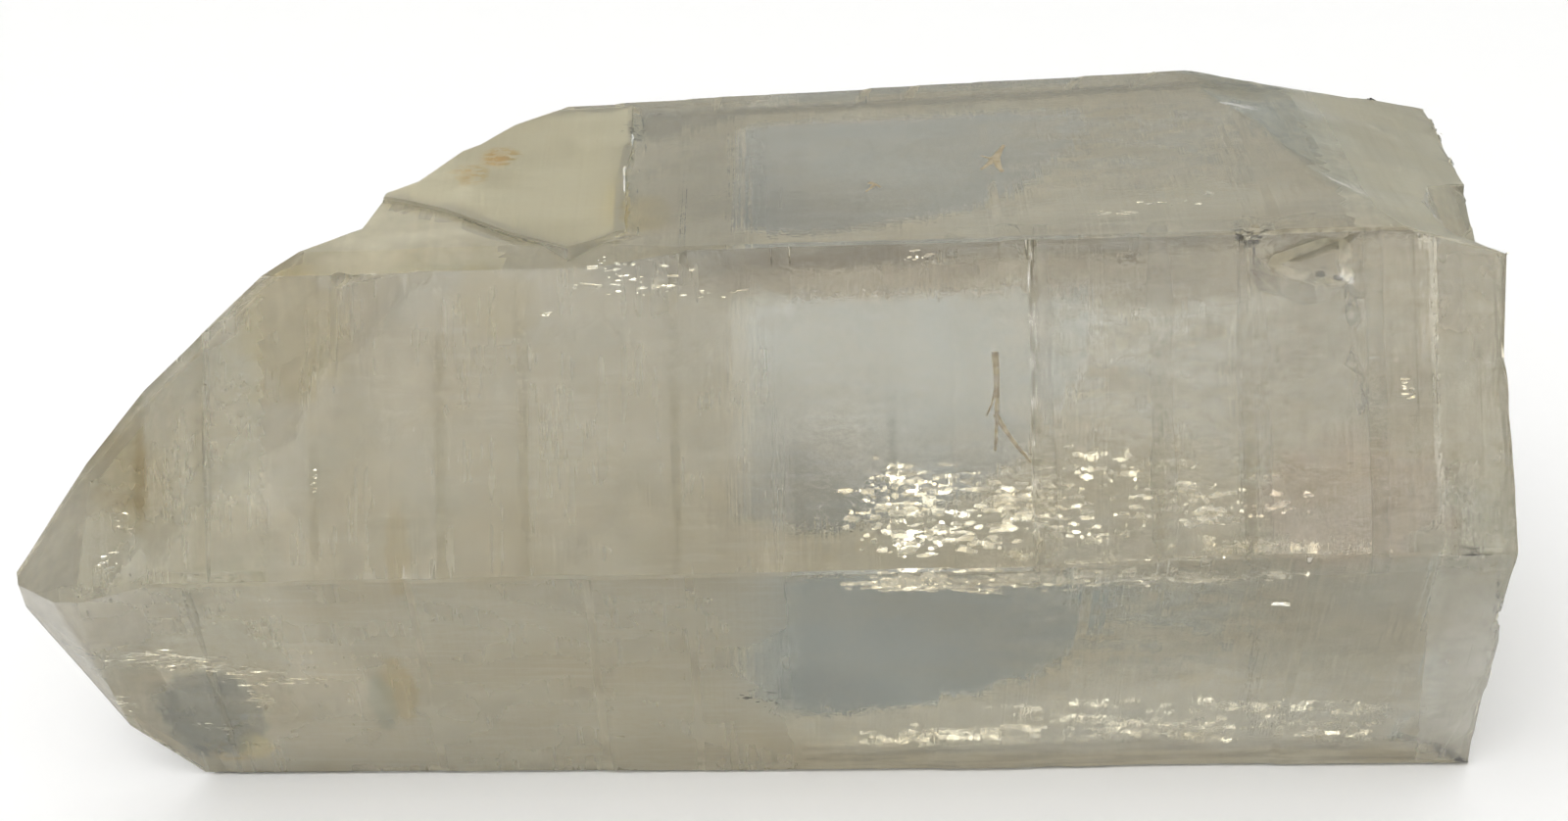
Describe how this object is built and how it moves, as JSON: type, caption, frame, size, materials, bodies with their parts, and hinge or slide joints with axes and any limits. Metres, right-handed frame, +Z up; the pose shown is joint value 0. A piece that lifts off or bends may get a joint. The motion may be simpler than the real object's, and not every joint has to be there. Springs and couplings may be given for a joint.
{
  "type": "quartz crystal",
  "caption": "Clear grey-beige quartz crystal lying on a prism face: a tapering hexagonal prism with a slanting natural point, stacked growth layers and a broken base.",
  "frame": {"origin": "centre of the bounding box in X and Y, on the plane it rests on", "axes": "+X along the crystal's long axis from the point towards the broken base, +Z up from the prism face it rests on"},
  "size_m": [0.1006, 0.0534, 0.0428],
  "materials": {
    "quartz": "clear to milky natural quartz with glassy prism faces, fine cross striations, inner veils and a matte broken base"
  },
  "bodies": {
    "root": {"quartz_crystal": "quartz"}
  },
  "joints": []
}
